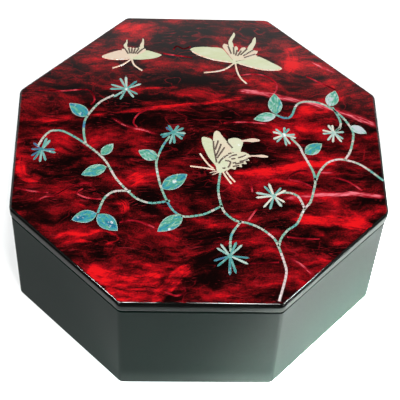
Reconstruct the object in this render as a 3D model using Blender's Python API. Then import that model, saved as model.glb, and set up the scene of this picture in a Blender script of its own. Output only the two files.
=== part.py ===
# Octagonal lacquered box with a lift-off lid.
# Metres, +Z up. The origin is under the middle of the underside, and the front wall faces -Y.
import math

import bmesh
import bpy

# Driving dimensions
SIDES = 8
LID_WIDTH = 0.200              # lid, flat to flat
BOX_HEIGHT = 0.080             # underside to the top of the lid
LID_THICKNESS = 0.0082         # board of the lid, without the rim under it
LID_OVERHANG = 0.0006          # how far the lid stands out past each wall
SEAM = 0.0003                  # gap between the closed lid and the walls
WALL_THICKNESS = 0.007
FLOOR_THICKNESS = 0.005

# Locating rim under the lid, which drops inside the walls
RIM_DEPTH = 0.005
RIM_THICKNESS = 0.004
RIM_CLEARANCE = 0.0005

# Corners in plan
LID_CORNER_RADIUS = 0.005
BODY_CORNER_RADIUS = 0.004
INNER_CORNER_RADIUS = 0.002
CORNER_STEPS = 6

# Edges in section
LID_TOP_ROUND = 0.0012
LID_LOWER_ROUND = 0.0022
BODY_FOOT_ROUND = 0.0008
BODY_TOP_ROUND = 0.0008
MOUTH_ROUND = 0.0006
FLOOR_FILLET = 0.0015
RIM_ROUND = 0.0006
EDGE_STEPS = 4

# Where the pieces meet
LID_HALF = LID_WIDTH / 2
WALL_HALF = LID_HALF - LID_OVERHANG
CAVITY_HALF = WALL_HALF - WALL_THICKNESS
RIM_HALF = CAVITY_HALF - RIM_CLEARANCE
LID_UNDERSIDE = BOX_HEIGHT - LID_THICKNESS
WALL_TOP = LID_UNDERSIDE - SEAM

# Lacquer of each piece: linear colour and roughness
LACQUERS = {
    "box_body": ((0.012, 0.016, 0.014, 1.0), 0.25),
    "lid": ((0.240, 0.010, 0.014, 1.0), 0.12),
}
SMALLEST_RADIUS = 0.0005
SHARP_ANGLE = math.radians(40)


def clear_scene():
    for thing in list(bpy.data.objects):
        bpy.data.objects.remove(thing, do_unlink=True)


def limited(radius, *walls):
    """A rounding, kept to less than half of the walls that it sits on."""
    return min([radius] + [0.45 * wall for wall in walls])


def arc(centre_half, centre_z, radius, start, end):
    """Section points from start to end degrees: 0 points away from the middle, 90 up."""
    points = []
    for step in range(EDGE_STEPS + 1):
        angle = math.radians(start + (end - start) * step / EDGE_STEPS)
        points.append((centre_half + radius * math.cos(angle), centre_z + radius * math.sin(angle)))
    return points


def plan(half, corner_radius):
    """Outline seen from above, with half from the middle to each flat and rounded corners."""
    radius = max(corner_radius, SMALLEST_RADIUS)
    half_side = math.pi / SIDES
    reach = (half - radius) / math.cos(half_side)
    points = []
    for corner in range(SIDES):
        middle = -math.pi / 2 + half_side + corner * 2 * half_side
        for step in range(CORNER_STEPS + 1):
            angle = middle + half_side * (2 * step / CORNER_STEPS - 1)
            points.append((reach * math.cos(middle) + radius * math.cos(angle),
                           reach * math.sin(middle) + radius * math.sin(angle)))
    return points


def rings(section, half, corner_radius):
    """Section points with the corner radius that each has, parallel to the face at half."""
    return [(point_half, corner_radius + point_half - half, z) for point_half, z in section]


def loft(name, ring_list):
    """Closed solid through rings of half width, corner radius and height, in this order."""
    mesh = bmesh.new()
    loops = [[mesh.verts.new((x, y, z)) for x, y in plan(half, corner_radius)]
             for half, corner_radius, z in ring_list]
    for first, second in zip(loops, loops[1:]):
        for i in range(len(first)):
            mesh.faces.new((first[i - 1], first[i], second[i], second[i - 1]))
    mesh.faces.new(reversed(loops[0]))
    mesh.faces.new(loops[-1])

    data = bpy.data.meshes.new(name)
    mesh.to_mesh(data)
    mesh.free()
    data.shade_smooth()
    data.set_sharp_from_angle(angle=SHARP_ANGLE)
    solid = bpy.data.objects.new(name, data)
    bpy.context.collection.objects.link(solid)
    return solid


def finish(solid):
    color, roughness = LACQUERS[solid.name]
    material = bpy.data.materials.new(solid.name + "_lacquer")
    material.use_nodes = True
    shader = material.node_tree.nodes["Principled BSDF"]
    shader.inputs["Base Color"].default_value = color
    shader.inputs["Roughness"].default_value = roughness
    shader.inputs["Metallic"].default_value = 0.0
    solid.data.materials.append(material)


def make_body():
    """Eight walls and a floor, glued and lacquered into one hollow piece."""
    foot = limited(BODY_FOOT_ROUND, WALL_THICKNESS, WALL_TOP)
    top = limited(BODY_TOP_ROUND, WALL_THICKNESS)
    mouth = limited(MOUTH_ROUND, WALL_THICKNESS)
    fillet = limited(FLOOR_FILLET, WALL_TOP - FLOOR_THICKNESS)

    outside = arc(WALL_HALF - foot, foot, foot, -90, 0)
    outside += arc(WALL_HALF - top, WALL_TOP - top, top, 0, 90)
    inside = arc(CAVITY_HALF + mouth, WALL_TOP - mouth, mouth, 90, 180)
    inside += arc(CAVITY_HALF - fillet, FLOOR_THICKNESS + fillet, fillet, 0, -90)
    return loft("box_body", rings(outside, WALL_HALF, BODY_CORNER_RADIUS)
                + rings(inside, CAVITY_HALF, INNER_CORNER_RADIUS))


def make_lid():
    """Flat board with rounded edges, and the locating rim glued under it."""
    rim_inner = RIM_HALF - RIM_THICKNESS
    rim_foot = LID_UNDERSIDE - RIM_DEPTH
    rim_round = limited(RIM_ROUND, RIM_THICKNESS, RIM_DEPTH)
    lower = limited(LID_LOWER_ROUND, LID_THICKNESS)
    top = limited(LID_TOP_ROUND, LID_THICKNESS)

    rim = [(rim_inner, LID_UNDERSIDE)]
    rim += arc(rim_inner + rim_round, rim_foot + rim_round, rim_round, 180, 270)
    rim += arc(RIM_HALF - rim_round, rim_foot + rim_round, rim_round, -90, 0)
    rim += [(RIM_HALF, LID_UNDERSIDE)]
    board = arc(LID_HALF - lower, LID_UNDERSIDE + lower, lower, -90, 0)
    board += arc(LID_HALF - top, BOX_HEIGHT - top, top, 0, 90)
    return loft("lid", rings(rim, RIM_HALF, INNER_CORNER_RADIUS)
                + rings(board, LID_HALF, LID_CORNER_RADIUS))


clear_scene()
for piece in (make_body(), make_lid()):
    finish(piece)
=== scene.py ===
# Octagonal lacquer box: black walls, a red and black lid, and shell inlay of vines and butterflies.
# Metres, +Z up, the front wall faces -Y. Places on the lid are millimetres: x right, y to the back.
import math
import random

import bpy
import numpy as np
from mathutils import Matrix, Vector


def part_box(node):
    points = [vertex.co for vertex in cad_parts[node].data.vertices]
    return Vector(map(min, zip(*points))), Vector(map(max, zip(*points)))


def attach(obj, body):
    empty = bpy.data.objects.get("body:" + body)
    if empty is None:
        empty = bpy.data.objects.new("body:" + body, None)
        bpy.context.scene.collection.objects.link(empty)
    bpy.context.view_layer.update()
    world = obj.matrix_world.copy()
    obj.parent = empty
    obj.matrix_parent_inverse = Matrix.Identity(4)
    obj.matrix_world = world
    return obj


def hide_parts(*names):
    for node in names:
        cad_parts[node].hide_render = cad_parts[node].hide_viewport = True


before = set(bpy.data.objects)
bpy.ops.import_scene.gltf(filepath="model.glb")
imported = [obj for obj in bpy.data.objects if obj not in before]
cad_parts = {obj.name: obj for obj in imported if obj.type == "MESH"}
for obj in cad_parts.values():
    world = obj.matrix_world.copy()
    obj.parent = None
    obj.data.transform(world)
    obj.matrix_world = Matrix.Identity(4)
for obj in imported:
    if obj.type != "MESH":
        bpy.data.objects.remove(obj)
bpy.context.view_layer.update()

mm = 0.001
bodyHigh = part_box("box_body")[1]
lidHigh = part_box("lid")[1]
lidHalf = lidHigh[0]
lidTop = lidHigh[2]
wallHalf = bodyHigh[0]
wallTop = bodyHigh[2]
groundTop = lidTop - 0.06 * mm     # red and black ground
shellTop = lidTop - 0.03 * mm      # shell lies on it, and engraved lines on the shell
lightLevel = 1.58                  # how bright white paper would be under the lights below


# Nodes that the finishes share
def put(tree, kind, inputs=None, **settings):
    # a node with its settings, and its inputs as values or as links
    node = tree.nodes.new(kind)
    for name, value in settings.items():
        setattr(node, name, value)
    for name, value in (inputs or {}).items():
        if isinstance(value, bpy.types.NodeSocket):
            tree.links.new(value, node.inputs[name])
        else:
            node.inputs[name].default_value = value
    return node


def calc(tree, operation, first, second=0.0):
    return put(tree, "ShaderNodeMath", {0: first, 1: second}, operation=operation).outputs[0]


def times(tree, first, second):
    return calc(tree, "MULTIPLY", first, second)


def plus(tree, first, second):
    return calc(tree, "ADD", first, second)


def swing(tree, value, amount):
    # a noise that swings about 0 by this amount
    return times(tree, calc(tree, "SUBTRACT", value, 0.5), amount)


def between(tree, value, low, high, outLow=0.0, outHigh=1.0):
    # smooth step from low to high
    inputs = {"Value": value, "From Min": low, "From Max": high, "To Min": outLow, "To Max": outHigh}
    return put(tree, "ShaderNodeMapRange", inputs, interpolation_type="SMOOTHSTEP").outputs[0]


def blendColour(tree, factor, first, second, mode="MIX"):
    return put(tree, "ShaderNodeMix", {0: factor, 6: first, 7: second}, data_type="RGBA",
               blend_type=mode).outputs[2]


def noise(tree, vector, scale, detail=2.0, roughness=0.5, distortion=0.0, output="Fac"):
    inputs = {"Vector": vector, "Scale": scale, "Detail": detail, "Roughness": roughness,
              "Distortion": distortion}
    return put(tree, "ShaderNodeTexNoise", inputs).outputs[output]


def stretched(tree, vector, scale, turn=0.0, shift=(0, 0, 0)):
    inputs = {"Vector": vector, "Scale": scale, "Rotation": (0, 0, math.radians(turn)), "Location": shift}
    return put(tree, "ShaderNodeMapping", inputs).outputs[0]


def warped(tree, vector, scale, amount, detail=2.0):
    # vector moved about by a soft noise, for swirls
    swirl = noise(tree, vector, scale, detail, output="Color")
    centred = put(tree, "ShaderNodeVectorMath", {0: swirl, 1: (0.5, 0.5, 0.5)}, operation="SUBTRACT")
    scaled = put(tree, "ShaderNodeVectorMath", {0: centred.outputs[0], "Scale": amount}, operation="SCALE")
    return put(tree, "ShaderNodeVectorMath", {0: vector, 1: scaled.outputs[0]}, operation="ADD").outputs[0]


def ramp(tree, value, stops):
    node = put(tree, "ShaderNodeValToRGB", {0: value})
    elements = node.color_ramp.elements
    while len(elements) < len(stops):
        elements.new(0.5)
    for element, (place, colour) in zip(elements, stops):
        element.position = place
        element.color = colour
    return node.outputs[0]


def tone(red, green, blue):
    # a colour from 0 to 255 as it looks under the lights, as the linear colour that a shader takes
    shares = [value / 255 for value in (red, green, blue)]
    linear = [share / 12.92 if share <= 0.04 else ((share + 0.055) / 1.055) ** 2.4 for share in shares]
    return (*(share / lightLevel for share in linear), 1.0)


def newMaterial(name):
    material = bpy.data.materials.new(name)
    material.use_nodes = True
    tree = material.node_tree
    return material, tree, tree.nodes["Principled BSDF"]


def millimetres(tree):
    # place on the piece, in millimetres
    place = put(tree, "ShaderNodeTexCoord").outputs["Object"]
    return stretched(tree, place, (1 / mm, 1 / mm, 1 / mm))


def setShader(shader, **values):
    for name, value in values.items():
        shader.inputs[name.replace("_", " ")].default_value = value


def addBump(tree, shader, height, strength, distance, socket="Normal"):
    bump = put(tree, "ShaderNodeBump", {"Height": height, "Strength": strength, "Distance": distance})
    tree.links.new(bump.outputs[0], shader.inputs[socket])


# Lacquered octagons, lofted through parallel rings
def outline(half, cornerRadius, cornerSteps, sideSteps):
    # points and outward directions seen from above, from the left end of the front side onward
    points = []
    halfTurn = math.pi / 8
    reach = (half - cornerRadius) / math.cos(halfTurn)
    for side in range(8):
        facing = -math.pi / 2 + side * 2 * halfTurn
        start = Vector((reach * math.cos(facing - halfTurn), reach * math.sin(facing - halfTurn)))
        end = Vector((reach * math.cos(facing + halfTurn), reach * math.sin(facing + halfTurn)))
        out = Vector((math.cos(facing), math.sin(facing)))
        steps = sideSteps[side]
        for step in range(steps + 1):
            points.append((start.lerp(end, step / steps) + cornerRadius * out, out))
        for step in range(1, cornerSteps):
            angle = facing + 2 * halfTurn * step / cornerSteps
            out = Vector((math.cos(angle), math.sin(angle)))
            points.append((end + cornerRadius * out, out))
    return points


def arc(centreHalf, centreZ, radius, start, end, steps, hollow=False):
    # section points with the way that the surface faces, in degrees: 0 is outward, 90 is up
    points = []
    for step in range(steps + 1):
        angle = start + (end - start) * step / steps
        turn = math.radians(angle)
        facing = angle + 180 if hollow else angle
        points.append((centreHalf + radius * math.cos(turn), centreZ + radius * math.sin(turn), facing))
    return points


def loftRings(sections, cornerSteps, sideSteps):
    # sections hold (points, half of their face, its corner radius)
    rings = []
    for section, faceHalf, cornerRadius in sections:
        for half, z, facing in section:
            radius = max(cornerRadius + half - faceHalf, 0.4 * mm)
            turn = math.radians(facing)
            ring = []
            for point, out in outline(half, radius, cornerSteps, sideSteps):
                normal = (out.x * math.cos(turn), out.y * math.cos(turn), math.sin(turn))
                ring.append(((point.x, point.y, z), normal))
            rings.append(ring)
    return rings


def ringMesh(rings):
    count = len(rings[0])
    points = [point for ring in rings for point, normal in ring]
    normals = [normal for ring in rings for point, normal in ring]
    faces = []
    for level in range(len(rings) - 1):
        low, high = level * count, (level + 1) * count
        for i in range(count):
            j = (i + 1) % count
            faces.append((low + i, low + j, high + j, high + i))
    faces.append(tuple(reversed(range(count))))
    return points, normals, faces


def newPiece(name, points, faces, material, normals=None):
    data = bpy.data.meshes.new(name)
    data.from_pydata(points, [], faces)
    data.materials.append(material)
    if normals:
        data.shade_smooth()
        data.normals_split_custom_set_from_vertices(normals)
    piece = bpy.data.objects.new(name, data)
    bpy.context.collection.objects.link(piece)
    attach(piece, "root")
    return piece


def storeValues(piece, name, values):
    attribute = piece.data.attributes.new(name, "FLOAT", "POINT")
    attribute.data.foreach_set("value", np.asarray(values, dtype=np.float32))


# Walls and floor
bodySizes = {
    "wall": 7 * mm, "floor": 5 * mm, "corner": 4 * mm, "insideCorner": 2 * mm,
    "foot": 0.8 * mm, "topEdge": 0.8 * mm, "mouth": 0.6 * mm, "fillet": 1.5 * mm,
    "cornerSteps": 14, "edgeSteps": 8,
}
wallPolish = {"amount": 0.2, "atFoot": 0.24, "footHeight": 15.0, "seamLow": 1.0, "seamHigh": 0.4}


def makeBlackLacquer():
    s = wallPolish
    material, tree, shader = newMaterial("blackLacquer")
    place = millimetres(tree)
    cloud = noise(tree, place, 0.02, 3.0)
    grain = noise(tree, place, 1.6, 2.0)
    colour = blendColour(tree, cloud, tone(8, 23, 19), tone(10, 25, 21))
    tree.links.new(colour, shader.inputs["Base Color"])

    # the polish ends under the seam, and the foot of the front wall has more of it
    split = put(tree, "ShaderNodeSeparateXYZ", {0: place})
    height, depth = split.outputs["Z"], split.outputs["Y"]
    top, front = wallTop / mm, -wallHalf / mm
    seam = between(tree, height, top - s["seamLow"], top - s["seamHigh"], 1.0, 0.0)
    frontWall = between(tree, depth, front + 0.5, front + 0.1)
    foot = times(tree, between(tree, height, s["footHeight"], 0.0), frontWall)
    polish = times(tree, seam, plus(tree, s["amount"], times(tree, foot, s["atFoot"])))
    tree.links.new(polish, shader.inputs["Coat Weight"])
    addBump(tree, shader, grain, 0.02, 0.01 * mm, "Coat Normal")
    setShader(shader, IOR=1.45, Specular_IOR_Level=0.0, Coat_IOR=1.4, Coat_Roughness=0.1)
    return material


def makeBoxBody():
    s = bodySizes
    cavity = wallHalf - s["wall"]
    foot, top, mouth, fillet = s["foot"], s["topEdge"], s["mouth"], s["fillet"]
    steps = s["edgeSteps"]
    outside = arc(wallHalf - foot, foot, foot, -90, 0, steps)
    outside += arc(wallHalf - top, wallTop - top, top, 0, 90, steps)
    inside = arc(cavity + mouth, wallTop - mouth, mouth, 90, 180, steps)
    inside += arc(cavity - fillet, s["floor"] + fillet, fillet, 0, -90, steps, hollow=True)
    sections = [(outside, wallHalf, s["corner"]), (inside, cavity, s["insideCorner"])]
    rings = loftRings(sections, s["cornerSteps"], [1] * 8)
    points, normals, faces = ringMesh(rings)
    count = len(rings[0])
    faces.append(tuple(range(len(points) - count, len(points))))
    piece = newPiece("boxBody", points, faces, blackLacquer, normals)
    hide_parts("box_body")


blackLacquer = makeBlackLacquer()
makeBoxBody()
print("walls and floor made")


# Marks in the red and black ground: a path, a width, and how strongly it shows
brightStrokes = [
    ([(-96, -8), (-95.5, -17), (-91, -21.5), (-84, -21)], 5, 1.3),
    ([(-58, -81), (-45, -86), (-30, -88), (-20, -84)], 8, 1.6),
    ([(-50, -91), (-40, -96), (-25, -96), (-19, -92), (-12, -83), (-6, -78)], 6, 1.6),
    ([(-18, -90), (-12, -89), (-8, -92), (-12, -95), (-18, -93)], 1.2, 0.8),
    ([(-75, -61), (-70, -57), (-60, -58), (-50, -55), (-42, -60), (-50, -64), (-62, -62), (-72, -64)],
     2, 0.8),
    ([(-45, -34), (-40, -38), (-40, -44)], 5, 0.9),
    ([(-30, -18), (-38, -24)], 8, 0.9),
    ([(-86, -37), (-82, -34), (-77, -33), (-70, -28), (-64, -25), (-57, -24)], 1.2, 0.9),
    ([(-98, -28), (-90, -30), (-80, -31)], 1, 0.7),
    ([(-62, -28), (-65, -31), (-60, -34), (-52, -35)], 1, 0.7),
    ([(-35, 43), (-24, 44.5), (-10, 45)], 1.5, 0.9),
    ([(-90, 41), (-76, 41), (-62, 42), (-58, 35), (-60, 31)], 1.2, 0.8),
    ([(-60, 23), (-40, 26), (-20, 30), (0, 33), (25, 38)], 2.5, 1.0),
    ([(-90, 19), (-75, 20), (-70, 24)], 3.5, 0.7),
    ([(-25, 30), (-33, 25), (-36, 19), (-34, 15)], 1, 0.8),
    ([(20, 54), (30, 56), (38, 55), (44, 50), (44.5, 45), (43, 42)], 1.2, 0.7),
    ([(55, 30), (65, 30), (75, 31)], 7, 0.8),
    ([(18, -17), (30, -15), (45, -13), (60, -9), (75, -8)], 4, 1.2),
    ([(50, -47), (65, -47), (80, -49), (92, -52)], 6, 1.4),
    ([(28, -29), (28, -22), (33, -22)], 1.2, 0.8),
    ([(25, -75), (40, -74)], 0.8, 0.7),
    ([(45, -58), (55, -59), (62, -59)], 0.8, 0.7),
    ([(30, -40), (25, -48)], 0.8, 0.7),
    ([(50, 57), (55, 68), (52, 80)], 9, 0.6),
    ([(-60, 56), (-56, 62)], 6, 0.6),
    ([(-20, 71), (-3, 68)], 1, 0.8),
    ([(-14, 74), (-12, 77), (-8, 75), (-4, 77)], 0.8, 0.7),
]
pinkStrokes = [
    ([(-48, 22), (-40, 16), (-30, 13), (-22, 9.5)], 1.6, 0.7),
    ([(22, 43), (35, 42), (45, 39), (55, 36.5), (66, 34), (78, 29), (85, 26), (95, 21), (99, 18)], 3.6, 0.9),
    ([(65, 67), (72, 62), (80, 58)], 2, 0.9),
    ([(62, 55), (70, 50), (78, 45)], 0.8, 0.7),
    ([(48, -20), (49, -17), (55, -14), (65, -15), (73, -15)], 1, 0.8),
    ([(48, -20), (55, -22), (60, -25)], 1, 0.8),
    ([(45, -33), (55, -31.5), (65, -30), (75, -29.5), (82, -29), (90, -30), (99, -31)], 2.6, 1.0),
    ([(72, -18), (80, -21), (87, -27)], 0.9, 0.8),
    ([(45, -71), (52, -76), (58, -83)], 2, 0.8),
    ([(-42, -50), (-36, -48.5), (-30, -50), (-24, -53)], 1.1, 0.8),
    ([(14, 19), (25, 20), (38, 19)], 0.7, 0.6),
]
# Middle, half width, half height and strength of soft darker and redder zones
darkZones = [
    (-8, 51, 26, 6, 0.8), (-25, 37, 18, 4, 0.7), (-13, 1, 14, 5, 0.8), (-25, -33, 7, 6, 0.8),
    (4, -25, 8, 7, 0.8), (2, -75, 16, 14, 0.5), (-4, 80, 18, 12, 0.5), (10, 22, 40, 10, 0.4),
    (-38, 30, 30, 14, 0.35), (-72, -8, 12, 5, 0.4), (25, 2, 12, 8, 0.6), (80, -62, 10, 6, 0.3),
]
redZones = [
    (60, 52, 34, 26, 0.4), (-78, 12, 20, 18, 0.3), (-30, -22, 20, 8, 0.3), (-55, -60, 24, 10, 0.2),
    (60, -12, 30, 8, 0.3), (75, -45, 20, 12, 0.3), (0, -48, 24, 5, 0.2), (-40, 82, 25, 10, 0.2),
    (0, 64, 75, 7, 0.25), (48, 12, 10, 55, 0.2), (0, -95, 40, 4, 0.25),
]
lidSizes = {
    "corner": 5 * mm, "topEdge": 1.4 * mm, "lowerEdge": 2.2 * mm, "rimDepth": 5 * mm, "rimWidth": 4 * mm,
    "rimGap": 0.5 * mm, "rimRound": 0.6 * mm, "board": 8.2 * mm, "rimCorner": 2 * mm,
    "inner": 0.4 * mm, "columns": 200, "sideSteps": 96, "cornerSteps": 6,
    "rimSteps": 3, "lowerSteps": 10, "topSteps": 8, "markedDepth": 1.3 * mm,
}
groundLook = {
    "bandScale": 0.085, "bandAmount": 2.6, "streakScale": 0.36, "streakAmount": 1.15,
    "grainScale": 1.3, "grainAmount": 0.85, "base": 0.285, "redder": 0.45, "darker": 0.55,
    "markStart": 0.12, "markFull": 0.92, "brightLift": 0.12, "brightFray": 0.5, "pink": 0.8,
    "lightFibre": 0.25, "darkFibre": 0.3, "dust": 0.6,
    "blackEnd": 0.9, "redStart": 1.4, "uneven": 1.6,    # from the lid's edge inward
}
# Scale, width, strength, turn and shift of the threads that follow a soft noise
softThreads = [(0.05, 0.008, 0.28, 0, 0), (0.08, 0.010, 0.22, 20, 40), (0.12, 0.012, 0.18, -15, 90)]
lidPolish = {   # depths under the lid's top, half of the front side, and how much clear coat there is
    "sideHigh": 2.2, "sideLow": 4.7, "lowerHigh": 6.2, "lowerLow": 6.7, "frontHalf": 41.0,
    "side": 0.27, "underTop": 0.01, "lower": 0.9, "slanted": 0.4,
}


def smoothPath(points, closed=False, steps=6):
    # a curve through the points
    count = len(points)
    path = []
    for i in range(count if closed else count - 1):
        before = points[i - 1] if closed or i > 0 else points[0]
        after = points[(i + 2) % count] if closed or i + 2 < count else points[-1]
        for step in range(steps):
            t = step / steps
            path.append(tuple(
                0.5 * (2 * b + (c - a) * t + (2 * a - 5 * b + 4 * c - d) * t ** 2
                       + (3 * b - a - 3 * c + d) * t ** 3)
                for a, b, c, d in zip(before, points[i], points[(i + 1) % count], after)))
    if not closed:
        path.append(tuple(points[-1]))
    return path


def strokeField(places, strokes, fade=5.0):
    # how strongly each place lies in a stroke, and where it is along and across the nearest one
    field, along, across = np.zeros((3, len(places)))
    closest = np.full(len(places), 1e9)
    for number, (points, width, strength) in enumerate(strokes):
        path = np.array(smoothPath(points))
        total = np.hypot(*np.diff(path, axis=0).T).sum()
        nearest = np.full(len(places), 1e9)
        travelled, side = np.zeros((2, len(places)))
        passed = 0.0
        for a, b in zip(path, path[1:]):
            step = b - a
            length = max(np.hypot(*step), 1e-6)
            t = np.clip(((places - a) @ step) / length ** 2, 0, 1)
            offset = places - a - t[:, None] * step
            gap = np.hypot(*offset.T)
            better = gap < nearest
            nearest = np.where(better, gap, nearest)
            travelled = np.where(better, passed + t * length, travelled)
            turn = np.sign(step[0] * offset[:, 1] - step[1] * offset[:, 0])
            side = np.where(better, turn * gap, side)
            passed += length
        ends = np.clip(np.minimum(travelled, total - travelled) / fade + 0.35, 0, 1)
        soft = np.exp(-(nearest / (width * 0.62)) ** 2) * ends
        field = np.maximum(field, strength * soft)
        better = nearest / width < closest
        closest = np.where(better, nearest / width, closest)
        along = np.where(better, travelled + 60 * number, along)
        across = np.where(better, side, across)
    return field, along, across


def zoneField(places, zones):
    field = np.zeros(len(places))
    for x, y, halfWidth, halfHeight, strength in zones:
        reach = ((places[:, 0] - x) / halfWidth) ** 2 + ((places[:, 1] - y) / halfHeight) ** 2
        field = np.maximum(field, strength * np.exp(-reach ** 1.5))
    return field


def attributeValue(tree, name):
    return put(tree, "ShaderNodeAttribute", attribute_name=name).outputs["Fac"]


def strokeMarks(tree, name):
    # strokes that fray into filaments along their path
    path = put(tree, "ShaderNodeCombineXYZ", {
        "X": attributeValue(tree, name + "Along"), "Y": attributeValue(tree, name + "Across")}).outputs[0]
    broad = noise(tree, stretched(tree, path, (0.16, 1.0, 1.0)), 0.5, 3.0, 0.6)
    fine = noise(tree, stretched(tree, path, (0.12, 1.0, 1.0)), 1.5, 2.0, 0.6)
    fray = plus(tree, times(tree, broad, 1.4), times(tree, fine, 1.2))
    fray = calc(tree, "MAXIMUM", calc(tree, "SUBTRACT", fray, 0.45), 0.0)
    amount = times(tree, attributeValue(tree, name), fray)
    return between(tree, amount, groundLook["markStart"], groundLook["markFull"]), fray


def makeRedBlackGround():
    s = groundLook
    material, tree, shader = newMaterial("redBlackGround")
    place = millimetres(tree)
    swirled = warped(tree, warped(tree, place, 0.018, 26.0), 0.09, 5.0)
    bands = noise(tree, stretched(tree, swirled, (0.4, 1.0, 1.0)), s["bandScale"], 5.0, 0.56)
    streaks = noise(tree, stretched(tree, swirled, (0.3, 1.0, 1.0)), s["streakScale"], 4.0, 0.58)
    grain = noise(tree, stretched(tree, place, (0.85, 1.0, 1.0)), s["grainScale"], 3.0, 0.65)
    bright, brightFray = strokeMarks(tree, "brightMark")
    pink, pinkFray = strokeMarks(tree, "pinkMark")

    level = plus(tree, swing(tree, bands, s["bandAmount"]), swing(tree, streaks, s["streakAmount"]))
    level = plus(tree, level, swing(tree, grain, s["grainAmount"]))
    level = plus(tree, level, s["base"])
    level = plus(tree, level, times(tree, attributeValue(tree, "redZone"), s["redder"]))
    level = calc(tree, "SUBTRACT", level, times(tree, attributeValue(tree, "darkZone"), s["darker"]))
    lift = times(tree, bright, plus(tree, s["brightLift"], times(tree, brightFray, s["brightFray"])))
    level = plus(tree, level, lift)
    colour = ramp(tree, level, [
        (0.0, tone(12, 2, 2)), (0.2, tone(38, 4, 5)), (0.42, tone(84, 7, 11)), (0.66, tone(136, 10, 19)),
        (0.85, tone(186, 14, 24)), (1.0, tone(222, 20, 26))])
    colour = blendColour(tree, times(tree, pink, s["pink"]), colour, tone(206, 26, 48))
    pinkCore = times(tree, between(tree, times(tree, pink, pinkFray), 0.45, 1.1), 0.85)
    colour = blendColour(tree, pinkCore, colour, tone(244, 130, 142))

    # fine threads where a soft noise passes through its middle
    for scale, width, strength, turn, shift in softThreads:
        along = stretched(tree, swirled, (0.35, 1.0, 1.0), turn, (shift, shift, 0))
        ridge = calc(tree, "ABSOLUTE", calc(tree, "SUBTRACT", noise(tree, along, scale, 2.0, 0.45), 0.5))
        thread = between(tree, ridge, width, 0.0)
        moved = stretched(tree, place, (1, 1, 1), 0, (0, shift, 0))
        broken = between(tree, noise(tree, moved, 0.06, 2.0), 0.45, 0.62)
        amount = times(tree, times(tree, thread, broken), strength)
        colour = blendColour(tree, amount, colour, tone(190, 24, 40))

    # thin fibres, mostly from side to side
    fibres = noise(tree, stretched(tree, warped(tree, place, 0.03, 14.0), (0.075, 1.0, 1.0)), 1.25, 2.0, 0.5)
    seen = between(tree, noise(tree, place, 0.05, 3.0), 0.4, 0.62)
    lightFibre = times(tree, times(tree, between(tree, fibres, 0.6, 0.7), seen), s["lightFibre"])
    darkFibre = times(tree, between(tree, fibres, 0.36, 0.3), s["darkFibre"])
    colour = blendColour(tree, lightFibre, colour, tone(212, 46, 60))
    colour = blendColour(tree, darkFibre, colour, tone(30, 3, 5))

    # pale dust in the lacquer
    dust = between(tree, noise(tree, place, 1.9, 1.0, 0.5), 0.74, 0.80)
    where = between(tree, noise(tree, place, 0.03, 2.0), 0.42, 0.6)
    colour = blendColour(tree, times(tree, times(tree, dust, where), s["dust"]), colour, tone(214, 84, 84))

    # black lacquer past the red ground, with a slightly uneven edge
    inward = attributeValue(tree, "edgeDistance")
    edge = plus(tree, inward, swing(tree, noise(tree, place, 0.35, 3.0), s["uneven"]))
    inside = between(tree, edge, s["blackEnd"], s["redStart"])
    tree.links.new(blendColour(tree, inside, tone(9, 10, 9), colour), shader.inputs["Base Color"])

    # the polish is full on top and on the lower edge, and thinner on the side
    p = lidPolish
    split = put(tree, "ShaderNodeSeparateXYZ", {0: place})
    height, top = split.outputs["Z"], lidTop / mm
    slanted = between(tree, calc(tree, "ABSOLUTE", split.outputs["X"]), p["frontHalf"], p["frontHalf"] + 3.0)
    polish = between(tree, calc(tree, "SUBTRACT", height, slanted), top - p["sideLow"], top - p["sideHigh"],
                     p["side"], p["underTop"])
    polish = times(tree, polish, plus(tree, times(tree, slanted, p["slanted"]), 1.0))
    lower = between(tree, height, top - p["lowerLow"], top - p["lowerHigh"], p["lower"], 0.0)
    polish = calc(tree, "MAXIMUM", polish, lower)
    polish = calc(tree, "MAXIMUM", polish, between(tree, inward, 0.25, 0.5))
    tree.links.new(polish, shader.inputs["Coat Weight"])
    addBump(tree, shader, noise(tree, place, 0.12, 2.0), 0.05, 0.05 * mm, "Coat Normal")
    setShader(shader, Roughness=0.5, IOR=1.5, Specular_IOR_Level=0.0, Coat_Roughness=0.04, Coat_IOR=1.55)
    return material


def lidRings():
    s = lidSizes
    underside = lidTop - s["board"]
    rimHalf = wallHalf - bodySizes["wall"] - s["rimGap"]
    rimInner = rimHalf - s["rimWidth"]
    rimFoot = underside - s["rimDepth"]
    rimRound, inner, lower, top = s["rimRound"], s["inner"], s["lowerEdge"], s["topEdge"]
    steps = s["rimSteps"]
    rim = arc(rimInner - inner, underside - inner, inner, 90, 0, steps, hollow=True)
    rim += arc(rimInner + rimRound, rimFoot + rimRound, rimRound, 180, 270, steps)
    rim += arc(rimHalf - rimRound, rimFoot + rimRound, rimRound, -90, 0, steps)
    rim += arc(rimHalf + inner, underside - inner, inner, 180, 90, steps, hollow=True)
    board = arc(lidHalf - lower, underside + lower, lower, -90, 0, s["lowerSteps"])
    board += arc(lidHalf - top, groundTop - top, top, 0, 90, s["topSteps"])
    sections = [(rim, rimHalf, s["rimCorner"]), (board, lidHalf, s["corner"])]
    perSide = [s["columns"], s["sideSteps"], s["sideSteps"], s["sideSteps"]]
    return loftRings(sections, s["cornerSteps"], perSide * 2)


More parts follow.
